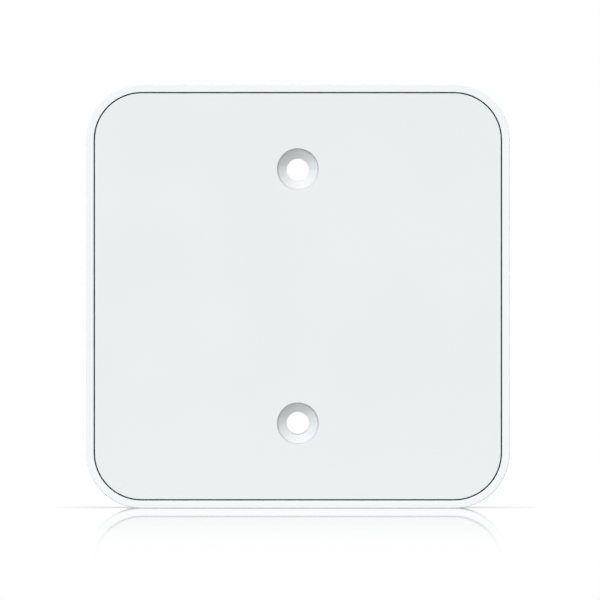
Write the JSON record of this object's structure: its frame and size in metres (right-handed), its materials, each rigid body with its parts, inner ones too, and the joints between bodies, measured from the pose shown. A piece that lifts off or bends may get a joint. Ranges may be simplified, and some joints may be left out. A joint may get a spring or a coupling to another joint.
{
  "type": "ceiling access point",
  "caption": "Compact square ceiling access point with a flush front panel in a slim rim, held by countersunk screws that pass right through its body.",
  "frame": {"origin": "centre of the ceiling face, the plane at the back that lies on the ceiling", "axes": "+Y out of the ceiling face, so that the front panel faces -Y; +Z towards the upper screw hole; +X towards the cable entry. Stored upright, as the picture shows it"},
  "size_m": [0.1, 0.03, 0.1],
  "materials": {
    "panel_plastic": "fine moulded satin, very pale cool grey",
    "frame_plastic": "fine moulded satin, white",
    "cast_base": "die casting with a light grey powder coat",
    "tray_plastic": "moulded light grey",
    "dark_rubber": "matt closed-cell rubber",
    "sleeve_aluminium": "turned, plain",
    "label_film": "silver-grey polyester film, blank",
    "zinc_steel": "zinc plated",
    "circuit_board": "green solder mask on glass fibre",
    "chip_resin": "black moulding resin",
    "tinned_steel": "tin plated sheet",
    "thermal_pad": "soft gap filler",
    "antenna_metal": "tinned stamped sheet",
    "contact_gold": "gold flash",
    "ceramic": "fired ceramic",
    "led_body": "white package",
    "clear_plastic": "clear acrylic",
    "jack_plastic": "black nylon",
    "light_window": "diffusing window",
    "ferrite": "sintered ferrite",
    "winding_tape": "polyester tape over enamelled wire",
    "capacitor_sleeve": "shrunk sleeve",
    "button_plastic": "moulded gloss"
  },
  "bodies": {
    "housing": {"side_frame": "frame_plastic", "base_casting": "cast_base", "port_tray": "tray_plastic", "panel_gasket": "dark_rubber", "upper_screw_sleeve": "sleeve_aluminium", "lower_screw_sleeve": "sleeve_aluminium", "ceiling_pads": "dark_rubber", "blank_label": "label_film", "base_screws": "zinc_steel", "board_screws": "zinc_steel", "main_board": "circuit_board", "system_chip": "chip_resin", "memory_chips": "chip_resin", "flash_chip": "chip_resin", "radio_chips": "chip_resin", "system_shield_frame": "tinned_steel", "system_shield_lid": "tinned_steel", "radio5_shield_frame": "tinned_steel", "radio5_shield_lid": "tinned_steel", "radio2_shield_frame": "tinned_steel", "radio2_shield_lid": "tinned_steel", "thermal_pads": "thermal_pad", "antenna_2g_left": "antenna_metal", "antenna_2g_right": "antenna_metal", "antenna_5g_left": "antenna_metal", "antenna_5g_right": "antenna_metal", "bluetooth_antenna": "ceramic", "status_led": "led_body", "status_light_pipe": "clear_plastic", "network_jack_shield": "tinned_steel", "network_jack_insert": "jack_plastic", "network_jack_contacts": "contact_gold", "network_jack_lights": "light_window", "network_transformer": "chip_resin", "power_transformer_core": "ferrite", "power_transformer_coil": "winding_tape", "power_capacitors": "capacitor_sleeve", "power_inductors": "ferrite", "power_rectifiers": "chip_resin", "crystals": "tinned_steel", "small_passives": "ceramic", "reset_switch_body": "jack_plastic"},
    "panel": {"front_panel": "panel_plastic"},
    "entry_blank": {"cable_entry_blank": "frame_plastic"},
    "reset_cap": {"reset_button": "button_plastic"},
    "reset_plunger": {"reset_switch_plunger": "chip_resin"}
  },
  "joints": [
    {"name": "panel_pull", "type": "slide", "parent": "housing", "child": "panel", "axis": [0, -1, 0], "range_m": [0, 0.04]},
    {"name": "entry_blank_slide", "type": "slide", "parent": "housing", "child": "entry_blank", "axis": [0, 1, 0], "range_m": [0, 0.015]},
    {"name": "reset_press", "type": "slide", "parent": "housing", "child": "reset_cap", "axis": [0, -1, 0], "range_m": [0, 0.0003], "stiffness_N_per_m": 2000, "springref_m": -0.0003},
    {"name": "reset_plunger_travel", "type": "slide", "parent": "housing", "child": "reset_plunger", "axis": [0, -1, 0], "range_m": [0, 0.0003]}
  ],
  "couplings": [
    {"joint": "reset_plunger_travel", "follows": "reset_press", "ratio": 1}
  ]
}
